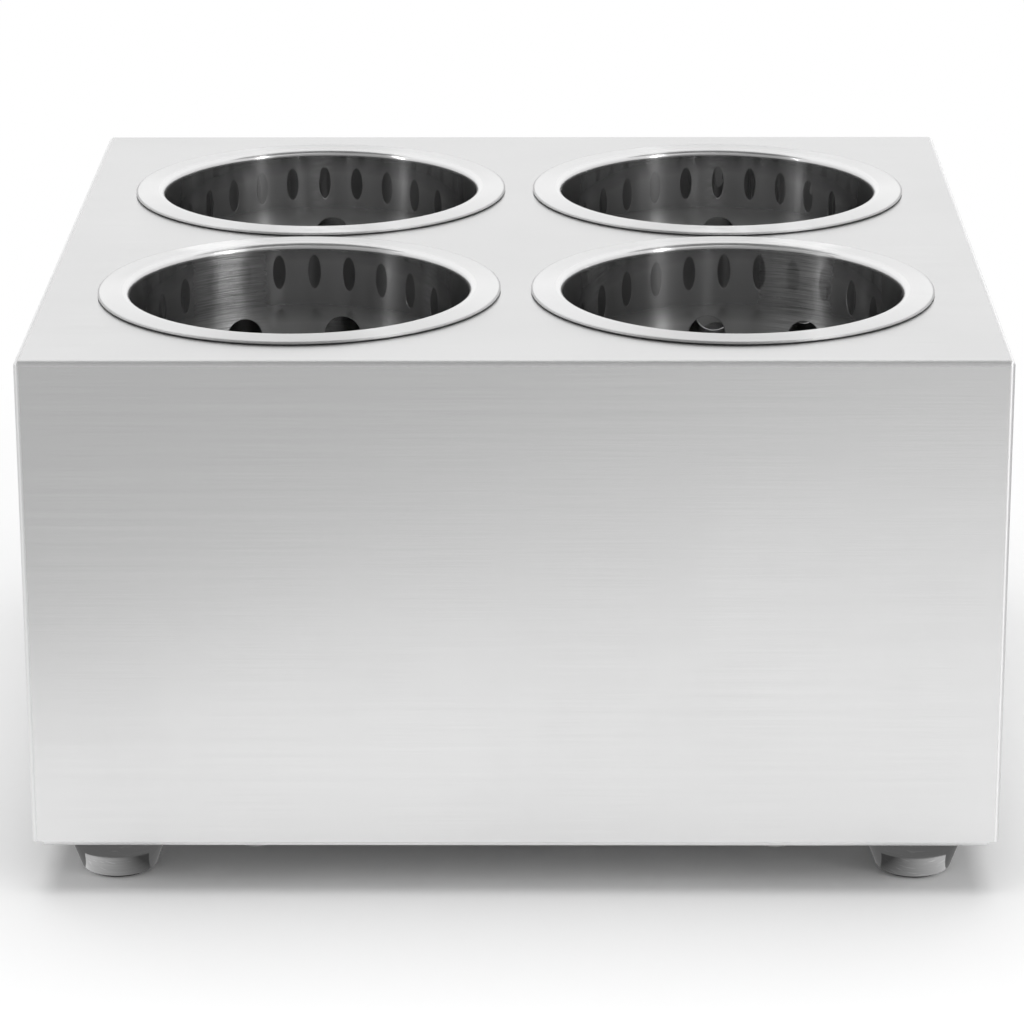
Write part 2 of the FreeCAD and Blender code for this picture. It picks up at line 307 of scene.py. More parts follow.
# Painted highlight: on the folds the colour goes lighter than on the flat sheet.
wires.feed(shader.inputs["Base Color"], grey(wires, wires.blend(streaked, FOLD_PAINTED_HIGHLIGHT, fold_dulling_and_highlight)))
brushed = wires.blend(*HOUSING_ROUGHNESS, lines["Broad"])
dulled = wires.math("MULTIPLY_ADD", marks["Smudge"], HOUSING_SMUDGE_DULLS, brushed)
wires.feed(shader.inputs["Roughness"], wires.blend(dulled, FOLD_ROUGHNESS, fold_dulling_and_highlight))
bump(wires, shader, lines["Fine"], BRUSH_BUMP, BRUSH_DEPTH)
tangent = wires.node("ShaderNodeTangent", direction_type="UV_MAP", uv_map="brushing")
wires.feed(shader.inputs["Tangent"], tangent.outputs[0])
print("finish", brushed_sheet.name)

# %% [markdown]
# The cups were ground round and then polished with a mop. That leaves two looks at once: the mop's mirror
# shows crisp images of the holes opposite, and the grinding lines under it still draw lights out into tall
# upright streaks. The shader's Coat is the mirror, and its rougher, directional base is the grinding. The
# mop only reached the mouth, so the coat ends there and leaves paler satin below. From the panel top down
# to the mop's reach, the base colour of the wall is painted far darker than the flange's, as painted shade
# inside the cup. Along the weld seam the bead was ground flush later, which left a band of level
# scratches; an attribute on the mesh, from_seam, says how far a point is from the middle of that band. The
# flange wasn't mopped: a second attribute, past_mouth, says how far out from the mouth a point lies. Its
# cut edge is dull.

# %% Finish: polished cups
PANEL_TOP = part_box("housing_shell")[1].z
FLANGE_BRIGHTNESS = 0.84
FLANGE_START = (1.5 * MM, 2.5 * MM)
CUT_EDGE = (8.3 * MM, 8.7 * MM)
CUT_EDGE_ROUGHNESS = 0.7
# Painted shade: the wall inside the mouth, far darker than the flange.
WALL_PAINTED_SHADE = 0.16
SATIN_BRIGHTNESS = 0.5
BEND_OVER = (PANEL_TOP - 1.0 * MM, PANEL_TOP + 0.8 * MM)
WALL_ROUGHNESS = (0.29, 0.34)
MIRROR_ROUGHNESS = 0.03
MIRROR_IOR = 4.0
MOP_REACH = (PANEL_TOP - 23 * MM, PANEL_TOP - 17 * MM)
GROUND_BAND = (4 * MM, 13 * MM)
GROUND_GAIN = 0.38
GROUND_MIRROR = (0.95, 0.4)
GROUND_STRETCH = (70.0, 70.0, 2400.0)
GROUND_BUMP = 0.8
GROUND_DEPTH = 0.04 * MM
POLISH_STRETCH = (24.0, 24.0, 6000.0)
CUP_ANISOTROPIC = 0.95
CUP_SMUDGES_PER_METRE = 38.0
CUP_SMUDGE_SHADE = -0.03

polished_cup, wires, shader = fresh_material("polished_cup_steel")
metal(shader, CUP_ANISOTROPIC)
shader.inputs["Coat Roughness"].default_value = MIRROR_ROUGHNESS
shader.inputs["Coat IOR"].default_value = MIRROR_IOR
place = object_place(wires)
lines = wires.group(machined_lines, vector=place, stretch=POLISH_STRETCH)
grinding = wires.group(machined_lines, vector=place, stretch=GROUND_STRETCH)
marks = wires.group(handling_marks, vector=place, smudges_per_metre=CUP_SMUDGES_PER_METRE)
from_seam = wires.node("ShaderNodeAttribute", attribute_name="from_seam").outputs["Fac"]
ground = wires.ramp(from_seam, *GROUND_BAND, 1.0, 0.0)
past_mouth = wires.node("ShaderNodeAttribute", attribute_name="past_mouth").outputs["Fac"]
inside = wires.ramp(past_mouth, *FLANGE_START, 1.0, 0.0)
scored = wires.math("MULTIPLY", ground, grinding["Fine"])
height = wires.node("ShaderNodeSeparateXYZ", place).outputs[2]
above_painted_shade = wires.ramp(height, *BEND_OVER, 0.0, 1.0)
mopped = wires.ramp(height, *MOP_REACH, 0.0, 1.0)
# Painted shade: from the panel top down to the mop's reach the wall is far darker than the flange.
wall = wires.blend(SATIN_BRIGHTNESS, WALL_PAINTED_SHADE, mopped)
flange_and_shaded_wall = wires.blend(wall, FLANGE_BRIGHTNESS, above_painted_shade)
smudged = wires.math("MULTIPLY_ADD", marks["Smudge"], CUP_SMUDGE_SHADE, flange_and_shaded_wall)
brightened = wires.math("MULTIPLY_ADD", scored, GROUND_GAIN, smudged)
wires.feed(shader.inputs["Base Color"], grey(wires, brightened))
cut_edge = wires.ramp(past_mouth, *CUT_EDGE, 0.0, 1.0)
ground_wall = wires.blend(*WALL_ROUGHNESS, lines["Fine"])
wires.feed(shader.inputs["Roughness"], wires.blend(ground_wall, CUT_EDGE_ROUGHNESS, cut_edge))
left_bright = wires.blend(1.0, wires.blend(*GROUND_MIRROR, grinding["Fine"]), ground)
mirror = wires.math("MULTIPLY", mopped, left_bright)
wires.feed(shader.inputs["Coat Weight"], wires.math("MULTIPLY", mirror, inside))
bump(wires, shader, scored, GROUND_BUMP, GROUND_DEPTH)
tangent = wires.node("ShaderNodeTangent", direction_type="RADIAL", axis="Z")
wires.feed(shader.inputs["Tangent"], tangent.outputs[0])
print("finish", polished_cup.name)

# %% [markdown]
# The smaller finishes follow the same pattern with their own values: turned and polished feet, the plain
# rolled sheet of the base plate and the cup bottoms, zinc-plated fasteners, and black rubber pads. The
# fasteners are painted darker than bright zinc, as painted shade, because the screws sit in the shade
# under the box.

# %% Finishes: feet, plain sheet, fasteners and rubber
SCRATCH_BRIGHTENS = 0.08
SMUDGE_DULLS = 0.08
LINE_DEPTH = 0.04 * MM


def small_metal(name, bright, rough, stretch, smudges_per_metre, anisotropic, line_bump):
    """A metal with machined lines along its Object coordinates and light handling marks."""
    material, wires, shader = fresh_material(name)
    metal(shader, anisotropic)
    place = object_place(wires)
    lines = wires.group(machined_lines, vector=place, stretch=stretch)
    marks = wires.group(handling_marks, vector=place, smudges_per_metre=smudges_per_metre)
    lined = wires.blend(*bright, lines["Fine"])
    worn = wires.math("MULTIPLY_ADD", marks["Scratch"], SCRATCH_BRIGHTENS, lined)
    wires.feed(shader.inputs["Base Color"], grey(wires, worn))
    turned = wires.blend(*rough, lines["Fine"])
    dulled = wires.math("MULTIPLY_ADD", marks["Smudge"], SMUDGE_DULLS, turned)
    wires.feed(shader.inputs["Roughness"], dulled)
    bump(wires, shader, lines["Fine"], line_bump, LINE_DEPTH)
    tangent = wires.node("ShaderNodeTangent", direction_type="RADIAL", axis="Z")
    wires.feed(shader.inputs["Tangent"], tangent.outputs[0])
    return material


turned_foot = small_metal(
    "polished_foot", bright=(0.46, 0.52), rough=(0.03, 0.06), stretch=(60, 60, 5200),
    smudges_per_metre=160.0, anisotropic=0.5, line_bump=0.05,
)
plain_sheet = small_metal(
    "plain_rolled_sheet", bright=(0.55, 0.66), rough=(0.3, 0.4), stretch=(30, 900, 900),
    smudges_per_metre=24.0, anisotropic=0.3, line_bump=0.08,
)
cup_disc = small_metal(
    "cup_bottom_disc", bright=(0.7, 0.76), rough=(0.2, 0.26), stretch=(900, 40, 900),
    smudges_per_metre=40.0, anisotropic=0.4, line_bump=0.05,
)
# Painted shade: the fasteners' colour is kept dark to match the shade under the box.
fastener = small_metal(
    "zinc_fastener_painted_dark", bright=(0.3, 0.38), rough=(0.3, 0.42), stretch=(500, 500, 4000),
    smudges_per_metre=300.0, anisotropic=0.3, line_bump=0.1,
)

RUBBER_GRAINS_PER_METRE = 2600.0
RUBBER_SMUDGES_PER_METRE = 220.0
RUBBER_BRIGHTNESS = (0.022, 0.04)
RUBBER_ROUGHNESS = (0.62, 0.85)
RUBBER_DUST = 0.05
RUBBER_BUMP = 0.15
RUBBER_DEPTH = 0.05 * MM

pad_rubber, wires, shader = fresh_material("black_pad_rubber")
place = object_place(wires)
grain = wires.node("ShaderNodeTexNoise", place)
grain.inputs["Scale"].default_value = RUBBER_GRAINS_PER_METRE
marks = wires.group(handling_marks, vector=place, smudges_per_metre=RUBBER_SMUDGES_PER_METRE)
rubbed = wires.blend(*RUBBER_BRIGHTNESS, grain.outputs[0])
dusty = wires.math("MULTIPLY_ADD", marks["Smudge"], RUBBER_DUST, rubbed)
wires.feed(shader.inputs["Base Color"], grey(wires, dusty))
wires.feed(shader.inputs["Roughness"], wires.blend(*RUBBER_ROUGHNESS, grain.outputs[0]))
bump(wires, shader, grain.outputs[0], RUBBER_BUMP, RUBBER_DEPTH)
print("finishes:", [m.name for m in (turned_foot, plain_sheet, cup_disc, fastener, pad_rubber)])

# %% [markdown]
# The housing is one folded sheet. Its solid already has every bend, well, lip and corner relief, so a
# merged copy of that mesh is the right start. Only its shading needs help: across thin triangles,
# averaged normals would ripple in a reflection. A folded box has a simple rule, though: go from any
# point straight to the core box that is smaller by the fold radius, and that line is the true normal.
# Flat panels come out flat and folds perfectly round.

# %% Helpers for smooth pieces
SAME_PLACE = 1e-6
ON_SURFACE = 0.96


def show(piece):
    scene.collection.objects.link(piece)
    return piece


def merged_copy(name, node):
    """The mesh of a CAD node with its loose triangles joined, as a new piece."""
    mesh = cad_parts[node].data.copy()
    build = bmesh.new()
    build.from_mesh(mesh)
    bmesh.ops.remove_doubles(build, verts=build.verts, dist=SAME_PLACE)
    build.to_mesh(mesh)
    build.free()
    mesh.materials.clear()
    return show(bpy.data.objects.new(name, mesh))


def set_true_normals(mesh, true_normal):
    """Shades each face that lies along a known surface with that surface's own normals."""
    corner_normals = []
    for polygon in mesh.polygons:
        polygon.use_smooth = True
        for index in polygon.vertices:
            normal = true_normal(mesh.vertices[index].co)
            facing = normal.dot(polygon.normal)
            if abs(facing) > ON_SURFACE:
                corner_normals.append(normal * math.copysign(1, facing))
            else:
                corner_normals.append(polygon.normal)
    mesh.normals_split_custom_set(corner_normals)


print("helpers for smooth pieces ready")

# %% [markdown]
# Now the housing itself: the merged copy, its normals by that rule, and its UV map. Brushing could
# follow the object's own axes, but then it would cross some walls the wrong way. So each face takes the
# two coordinates that lie in it, and the first of them is the direction of the lines.

# %% Housing
housing = merged_copy("housing_folded", "housing_shell")
housing.data.materials.append(brushed_sheet)
core_low = [low + FOLD_RADIUS for low in housing_low]
core_high = [high - FOLD_RADIUS for high in housing_high]


def fold_normal(point):
    nearest = Vector(max(low, min(high, at)) for at, low, high in zip(point, core_low, core_high))
    return (point - nearest).normalized()


set_true_normals(housing.data, fold_normal)
brushing = housing.data.uv_layers.new(name="brushing")
for polygon in housing.data.polygons:
    on_side = abs(polygon.normal.x) > max(abs(polygon.normal.y), abs(polygon.normal.z))
    on_top = abs(polygon.normal.z) > abs(polygon.normal.y)
    for index in polygon.loop_indices:
        x, y, z = housing.data.vertices[housing.data.loops[index].vertex_index].co
        if on_side:
            brushing.data[index].uv = (y, z)
        elif on_top:
            brushing.data[index].uv = (x, y)
        else:
            brushing.data[index].uv = (x, z)
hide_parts("housing_shell")
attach(housing, "housing")
print("housing:", len(housing.data.polygons), "faces")

# %% [markdown]
# A cup's wall is a sheet that was punched flat with rows of round holes and then rolled. Its neck and
# flange were spun over afterwards. The spun part is the same all the way round, so it is turned from an
# outline. The outline runs over the flange, round the neck and down the plain band above the holes; a
# second run makes the band below them.

# %% Sizes of a cup
CUP_SHEET = 0.7 * MM
CUP_DEPTH = 125 * MM
MOUTH_RADIUS = 48.5 * MM
TAPER = math.radians(1.9)
FALL = math.radians(3)
NECK_RADIUS = 2.0 * MM
HOLE_RADIUS = 5.4 * MM
HOLE_COLUMNS = 10
HOLE_ROWS = 5
ROW_PITCH = 17.5 * MM
FIRST_ROW = -26.4 * MM
TILE_SEGMENTS = 32
TILE_RINGS = 2
NECK_STEPS = 10
COLLAR_STEPS = HOLE_COLUMNS * TILE_SEGMENTS // 4

flange_low, flange_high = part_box("cup_sleeve_front_left")
flange_radius = (flange_high.x - flange_low.x) / 2
neck_x = MOUTH_RADIUS + NECK_RADIUS * math.cos(TAPER)
neck_z = flange_high.z - PANEL_TOP - NECK_RADIUS
wall_start = neck_z + NECK_RADIUS * math.sin(TAPER)


def wall_radius(height):
    return MOUTH_RADIUS + (height - wall_start) * math.tan(TAPER)


def neck_point(angle):
    return neck_x + NECK_RADIUS * math.sin(angle), neck_z + NECK_RADIUS * math.cos(angle)


def flange_height(radius):
    inner_radius, inner_height = neck_point(FALL)
    return inner_height - (radius - inner_radius) * math.tan(FALL)


print("neck centre:", round(neck_x / MM, 3), round(neck_z / MM, 3))
print("wall starts at:", round(wall_start / MM, 3))

# %% [markdown]
# A screw modifier could turn an outline, but its result would need cleaning where the outline meets the
# axis. A short function takes care of that: it makes a ring of points for each point of the outline,
# joins each ring to the next, and closes a run at the axis. The feet and the screws below use it too.


# %% Turning an outline
def turned_mesh(name, runs, steps, start=0.0):
    """A mesh turned from runs of (radius, height) points; a radius of 0 closes a run at a pole."""
    build = bmesh.new()
    angles = [start - step * FULL_TURN / steps for step in range(steps)]
    for run in runs:
        rings = []
        for radius, height in run:
            if radius:
                ring = [(radius * math.sin(angle), radius * math.cos(angle), height) for angle in angles]
                rings.append([build.verts.new(place) for place in ring])
            else:
                rings.append([build.verts.new((0, 0, height))] * steps)
        for ring, following in zip(rings, rings[1:]):
            for step in range(steps):
                onward = (step + 1) % steps
                face = [ring[step], ring[onward], following[onward], following[step]]
                build.faces.new(list(dict.fromkeys(face)))
    mesh = bpy.data.meshes.new(name)
    build.to_mesh(mesh)
    build.free()
    return mesh


row_reach = ROW_PITCH / 2
tile_top = FIRST_ROW + row_reach
tile_bottom = FIRST_ROW - (HOLE_ROWS - 1) * ROW_PITCH - row_reach
neck_turn = math.pi / 2 + FALL - TAPER
collar = [(flange_radius, flange_height(flange_radius))]
for step in range(NECK_STEPS + 1):
    collar.append(neck_point(FALL - step / NECK_STEPS * neck_turn))
collar.append((wall_radius(tile_top), tile_top))
hem = [(wall_radius(tile_bottom), tile_bottom), (wall_radius(-CUP_DEPTH), -CUP_DEPTH)]
print("collar outline of", len(collar), "points, hem of", len(hem))

# %% [markdown]
# The punched wall repeats one tile: a square of sheet with a round hole. A modeller could cut fifty
# cylinders out of a cone with booleans, but that leaves ragged triangles that spoil a mirror. Geometry
# Nodes repeats a clean tile instead. Each tile is a small grid: one direction goes round the hole, the
# other from the hole's rim to the tile's edge. Grids are placed two units apart, so the whole part of
# half a coordinate is the row or column, and the rest says where in the tile a point is. From those
# numbers the tree works out an angle and a height, rolls the sheet into a cone, joins the spun collar,
# and gives it thickness.

# %% Geometry Nodes: the punched and rolled cup
WELD = 0.02 * MM
TILE_SPACING = 2
NUDGE = 0.01

cup_tree, wires, given, result = new_tree(
    "punched_cup", "GeometryNodeTree",
    {"Collar": GEOMETRY, "Columns": COUNT, "Rows": COUNT, "Hole Radius": NUMBER, "Row Pitch": NUMBER,
     "First Row": NUMBER, "Wall Start": NUMBER, "Mouth Radius": NUMBER, "Taper Slope": NUMBER,
     "Turn": NUMBER, "Sheet": NUMBER, "Place": VECTOR, "Finish": MATERIAL},
    {"Cup": GEOMETRY},
)
last_row = wires.math("SUBTRACT", given["Rows"], 1)
last_column = wires.math("SUBTRACT", given["Columns"], 1)
tile = wires.node("GeometryNodeMeshGrid", 1.0, 1.0, TILE_RINGS + 1, TILE_SEGMENTS + 1)
places = wires.node(
    "GeometryNodeMeshGrid",
    wires.math("MULTIPLY", last_row, TILE_SPACING),
    wires.math("MULTIPLY", last_column, TILE_SPACING),
    given["Rows"],
    given["Columns"],
)
copies = wires.node("GeometryNodeInstanceOnPoints", places.outputs[0], None, tile.outputs[0])
flat = wires.node("GeometryNodeRealizeInstances", copies.outputs[0])
spot = wires.node("ShaderNodeSeparateXYZ", wires.node("GeometryNodeInputPosition").outputs[0]).outputs


def split_place(value, last):
    """The number of the tile along a row or column, and the way through that tile from 0 to 1."""
    counted = wires.math("ADD", wires.math("ADD", value, last), 0.5)
    number = wires.math("FLOOR", wires.math("MULTIPLY_ADD", counted, 1 / TILE_SPACING, NUDGE))
    return number, wires.math("MULTIPLY_ADD", number, -TILE_SPACING, counted)


row, outwards = split_place(spot[0], last_row)
column, around = split_place(spot[1], last_column)
hole_angle = wires.math("MULTIPLY", around, FULL_TURN)
hole_x = wires.math("MULTIPLY", wires.math("COSINE", hole_angle), given["Hole Radius"])
hole_z = wires.math("MULTIPLY", wires.math("SINE", hole_angle), given["Hole Radius"])


def square_edge(shift):
    """One coordinate of a point that walks at an even pace round a square from -1 to 1."""
    walk = wires.math("PINGPONG", wires.math("MULTIPLY_ADD", around, 8, shift), 4)
    return wires.ramp(wires.math("SUBTRACT", 2, walk), -1.0, 1.0, -1.0, 1.0)


half_pitch = wires.math("MULTIPLY", given["Row Pitch"], 0.5)
column_angle = wires.math("DIVIDE", FULL_TURN, given["Columns"])
edge_angle = wires.math("MULTIPLY", square_edge(0), wires.math("MULTIPLY", column_angle, 0.5))
edge_z = wires.math("MULTIPLY", square_edge(-2), half_pitch)
row_z = wires.math("SUBTRACT", given["First Row"], wires.math("MULTIPLY", row, given["Row Pitch"]))
height = wires.math("ADD", row_z, wires.blend(hole_z, edge_z, outwards))
below_neck = wires.math("SUBTRACT", height, given["Wall Start"])
radius = wires.math("MULTIPLY_ADD", below_neck, given["Taper Slope"], given["Mouth Radius"])
rim_angle = wires.math("ARCSINE", wires.math("DIVIDE", hole_x, radius))
tile_angle = wires.math("MULTIPLY_ADD", column, column_angle, given["Turn"])
angle = wires.math("ADD", tile_angle, wires.blend(rim_angle, edge_angle, outwards))
rolled_place = wires.node(
    "ShaderNodeCombineXYZ",
    wires.math("MULTIPLY", wires.math("SINE", angle), radius),
    wires.math("MULTIPLY", wires.math("COSINE", angle), radius),
    height,
)
rolled = wires.node("GeometryNodeSetPosition", flat.outputs[0], None, rolled_place.outputs[0])
joined = wires.node("GeometryNodeJoinGeometry")
wires.feed(joined.inputs[0], given["Collar"])
wires.feed(joined.inputs[0], rolled.outputs[0])
skin = wires.node("GeometryNodeMergeByDistance", joined.outputs[0])
skin.inputs["Distance"].default_value = WELD
backing = wires.node("GeometryNodeExtrudeMesh", skin.outputs[0])
backing.inputs["Individual"].default_value = False
wires.feed(backing.inputs["Offset Scale"], wires.math("MULTIPLY", given["Sheet"], -1))
outside = wires.node("GeometryNodeFlipFaces", backing.outputs[0])
both = wires.node("GeometryNodeJoinGeometry")
wires.feed(both.inputs[0], skin.outputs[0])
wires.feed(both.inputs[0], outside.outputs[0])
closed = wires.node("GeometryNodeMergeByDistance", both.outputs[0])
closed.inputs["Distance"].default_value = WELD
seated = wires.node("GeometryNodeTransform", closed.outputs[0])
wires.feed(seated.inputs["Translation"], given["Place"])
plain = wires.node("GeometryNodeRealizeInstances", seated.outputs[0])
finished = wires.node("GeometryNodeSetMaterial", plain.outputs[0], None, given["Finish"])
wires.feed(result["Cup"], finished.outputs[0])
print("tree", cup_tree.name, "has", len(cup_tree.nodes), "nodes")

# %% [markdown]
# A tree's result could stay a modifier, but the finished pieces also need normals and attributes of
# their own. So the result is read once and kept as a plain mesh. A small bevel after the tree rounds
# the sharp edges, as deburring does on real sheet.

# %% Running a tree
BROKEN_EDGE_SEGMENTS = 2
SHARP_ANGLE = math.radians(50)


def grown(name, tree, sizes, start_mesh=None, edge_width=0.0):
    """Runs a tree on a new object, breaks its sharp edges, and leaves the result as a plain mesh."""
    piece = show(bpy.data.objects.new(name, start_mesh or bpy.data.meshes.new(name)))
    growth = piece.modifiers.new("growth", "NODES")
    growth.node_group = tree
    for socket in tree.interface.items_tree:
        if socket.in_out == "INPUT" and socket.name in sizes:
            growth[socket.identifier] = sizes[socket.name]
    if edge_width:
        break_edges(piece, edge_width)
    make_plain(piece)
    return piece


def break_edges(piece, width):
    """Rounds every sharp edge a little, as deburring does."""
    edges = piece.modifiers.new("broken edges", "BEVEL")
    edges.width = width
    edges.segments = BROKEN_EDGE_SEGMENTS
    edges.limit_method = "ANGLE"
    edges.angle_limit = SHARP_ANGLE


def make_plain(piece):
    """Turns what the modifiers make into the piece's own mesh."""
    shown = piece.evaluated_get(bpy.context.evaluated_depsgraph_get())
    mesh = bpy.data.meshes.new_from_object(shown)
    piece.modifiers.clear()
    piece.data = mesh


print("trees can be run")

# %% [markdown]
# All four cups come from the same tree; each one only hangs in another well and is turned another way,
# as loose cups are. The weld seam runs down beside a column of holes. Every corner of the wall gets the
# cone's own normal, the neck that of its bend and the flange its slope, so the mirror stays calm.

# %% Cups
HOLE_EDGE_WIDTH = 0.28 * MM
CUP_TURN_DEGREES = {"front_left": 12.0, "front_right": -6.5, "back_left": 1.0, "back_right": 3.0}
SEAM_COLUMNS_ON = {"front_left": -1.15, "front_right": 0.9, "back_left": 4.9, "back_right": 4.9}
column_turn = FULL_TURN / HOLE_COLUMNS


def cup_normal_at(axis):
    """The rule for the true normal on a cup's sheet round this axis point on the panel."""
    def true_normal(point):
        out = Vector((point.x - axis.x, point.y - axis.y))
        radius, height = out.length, point.z - axis.z
        if height < wall_start:
            slope = Vector((-math.cos(TAPER), math.sin(TAPER)))
        elif radius > neck_x:
            slope = Vector((math.sin(FALL), math.cos(FALL)))
        else:
            slope = Vector((radius - neck_x, height - neck_z)).normalized()
        out.normalize()
        return Vector((out.x * slope.x, out.y * slope.x, slope.y))
    return true_normal


def measure_cup(mesh, axis, seam_angle):
    """Stores how far each point is from the weld seam, along the wall, and how far out from the mouth."""
    names = ("from_seam", "past_mouth")
    for name in names:
        mesh.attributes.new(name, "FLOAT", "POINT")
    from_seam, past_mouth = (mesh.attributes[name].data for name in names)
    for vertex in mesh.vertices:
        out = Vector((vertex.co.x - axis.x, vertex.co.y - axis.y))
        turn = math.atan2(out.x, out.y) - seam_angle
        from_seam[vertex.index].value = abs(math.remainder(turn, FULL_TURN)) * MOUTH_RADIUS
        past_mouth[vertex.index].value = out.length - MOUTH_RADIUS


for corner in CORNERS:
    low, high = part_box(f"cup_sleeve_{corner}")
    axis = Vector(((low.x + high.x) / 2, (low.y + high.y) / 2, PANEL_TOP))
    turn = math.radians(CUP_TURN_DEGREES[corner])
    cup = grown(
        f"cup_{corner}_wall", cup_tree,
        {"Columns": HOLE_COLUMNS, "Rows": HOLE_ROWS, "Hole Radius": HOLE_RADIUS, "Row Pitch": ROW_PITCH,
         "First Row": FIRST_ROW, "Wall Start": wall_start, "Mouth Radius": MOUTH_RADIUS,
         "Taper Slope": math.tan(TAPER), "Turn": turn, "Sheet": CUP_SHEET, "Place": axis,
         "Finish": polished_cup},
        turned_mesh("collar", [collar, hem], COLLAR_STEPS, turn), HOLE_EDGE_WIDTH,
    )
    set_true_normals(cup.data, cup_normal_at(axis))
    measure_cup(cup.data, axis, turn + SEAM_COLUMNS_ON[corner] * column_turn)
    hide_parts(f"cup_sleeve_{corner}")
    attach(cup, f"cup_{corner}")
    print(cup.name, len(cup.data.polygons), "faces")

# %% [markdown]
# The feet are turned and polished cones with a recess below for a rubber pad. They are turned from an
# outline, like the collar, and their corners are broken by a bevel.

# %% Feet
FOOT_TOP_RADIUS = 15.2 * MM
FOOT_LOW_RADIUS = 10.5 * MM
FOOT_EDGE = 1.0 * MM
PAD_RECESS_RADIUS = 8.6 * MM
PAD_RECESS = 1.5 * MM
FOOT_STEPS = 96

for corner in CORNERS:
    low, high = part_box(f"foot_{corner}")
    foot_outline = [
        (0, low.z + PAD_RECESS),
        (PAD_RECESS_RADIUS, low.z + PAD_RECESS),
        (PAD_RECESS_RADIUS, low.z),
        (FOOT_LOW_RADIUS, low.z),
        (FOOT_TOP_RADIUS, high.z),
        (0, high.z),
    ]
    foot_mesh = turned_mesh("foot", [foot_outline], FOOT_STEPS)
    foot_mesh.transform(Matrix.Translation(((low.x + high.x) / 2, (low.y + high.y) / 2, 0)))
    foot = show(bpy.data.objects.new(f"foot_{corner}_turned", foot_mesh))
    break_edges(foot, FOOT_EDGE / 2)
    make_plain(foot)
    foot.data.shade_smooth()
    foot.data.materials.append(turned_foot)
    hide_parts(f"foot_{corner}")
    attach(foot, "housing")
print("feet:", FOOT_STEPS, "steps round,", len(foot.data.polygons), "faces each")

# %% [markdown]
# Eight low-headed screws hold the base plate. They are alike, so only one is made. It is turned from an
# outline, and two boolean cuts give it a cross recess. Booleans were no good for the mirror of the
# cups, but a small, dull screw head shows nothing of the triangles that they leave.

# %% One base screw
SCREW_HEAD_RADIUS = 4.0 * MM
SCREW_SHANK_RADIUS = 2.0 * MM
SCREW_SHOULDER = 0.8 * MM
SHOULDER_STEPS = 4
SCREW_STEPS = 32
RECESS_LENGTH = 4.2 * MM
RECESS_WIDTH = 0.9 * MM
RECESS_DEPTH = 0.9 * MM

screws_low, screws_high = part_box("base_screws")
plate_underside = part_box("base_plate")[0].z
screw_outline = [(0, screws_low.z)]
for step in range(SHOULDER_STEPS + 1):
    angle = step / SHOULDER_STEPS * math.pi / 2
    screw_outline.append((
        SCREW_HEAD_RADIUS - SCREW_SHOULDER * (1 - math.sin(angle)),
        screws_low.z + SCREW_SHOULDER * (1 - math.cos(angle)),
    ))
screw_outline += [
    (SCREW_HEAD_RADIUS, plate_underside),
    (SCREW_SHANK_RADIUS, plate_underside),
    (SCREW_SHANK_RADIUS, screws_high.z),
    (0, screws_high.z),
]
screw = show(bpy.data.objects.new("one_screw", turned_mesh("one_screw", [screw_outline], SCREW_STEPS)))


def recess_cutter(name, width, depth):
    """A box across the screw's head, sunk into it as deep as the recess."""
    build = bmesh.new()
    bmesh.ops.create_cube(build, size=1.0)
    bmesh.ops.scale(build, vec=(width, depth, 2 * RECESS_DEPTH), verts=build.verts)
    bmesh.ops.translate(build, vec=(0, 0, screws_low.z), verts=build.verts)
    mesh = bpy.data.meshes.new(name)
    build.to_mesh(mesh)
    build.free()
    return show(bpy.data.objects.new(name, mesh))


cutters = [
    recess_cutter("slot_across", RECESS_LENGTH, RECESS_WIDTH),
    recess_cutter("slot_along", RECESS_WIDTH, RECESS_LENGTH),
]
for cutter in cutters:
    cut = screw.modifiers.new(cutter.name, "BOOLEAN")
    cut.object = cutter
    cut.operation = "DIFFERENCE"
make_plain(screw)
for cutter in cutters:
    bpy.data.objects.remove(cutter)
screw_mesh = screw.data
bpy.data.objects.remove(screw)
print("one screw:", len(screw_mesh.polygons), "faces")

# %% [markdown]
# A tree puts a copy of the screw at each corner of two rectangles: a grid of two by two points has just
# the four corners. Eight objects placed one by one would look the same, but the screws are one node in
# the frame, so they stay one piece here. Each screw stopped at its own angle, so a seeded random turn
# is added.

# %% Geometry Nodes: screws round the base plate
SCREW_FROM_CORNER = 62 * MM
SCREW_SEED = 4

screw_tree, wires, given, result = new_tree(
    "screws_round_plate", "GeometryNodeTree",
    {"Screw": GEOMETRY, "Side X": NUMBER, "Side Y": NUMBER, "End X": NUMBER, "End Y": NUMBER,
     "Seed": COUNT, "Finish": MATERIAL},
    {"Screws": GEOMETRY},
)
places = wires.node("GeometryNodeJoinGeometry")
for across, along in (("Side X", "Side Y"), ("End X", "End Y")):
    rectangle = wires.node(
        "GeometryNodeMeshGrid",
        wires.math("MULTIPLY", given[across], 2), wires.math("MULTIPLY", given[along], 2), 2, 2,
    )
    wires.feed(places.inputs[0], rectangle.outputs[0])
chance = wires.node("FunctionNodeRandomValue", data_type="FLOAT")
chance.inputs["Max"].default_value = FULL_TURN
wires.feed(chance.inputs["Seed"], given["Seed"])
stop_angle = [socket for socket in chance.outputs if socket.enabled][0]
stopped = wires.node("ShaderNodeCombineXYZ", 0.0, 0.0, stop_angle)
stop_turn = wires.node("FunctionNodeEulerToRotation", stopped.outputs[0])
copies = wires.node("GeometryNodeInstanceOnPoints", places.outputs[0], None, given["Screw"])
wires.feed(copies.inputs["Rotation"], stop_turn.outputs[0])
plain = wires.node("GeometryNodeRealizeInstances", copies.outputs[0])
finished = wires.node("GeometryNodeSetMaterial", plain.outputs[0], None, given["Finish"])
wires.feed(result["Screws"], finished.outputs[0])

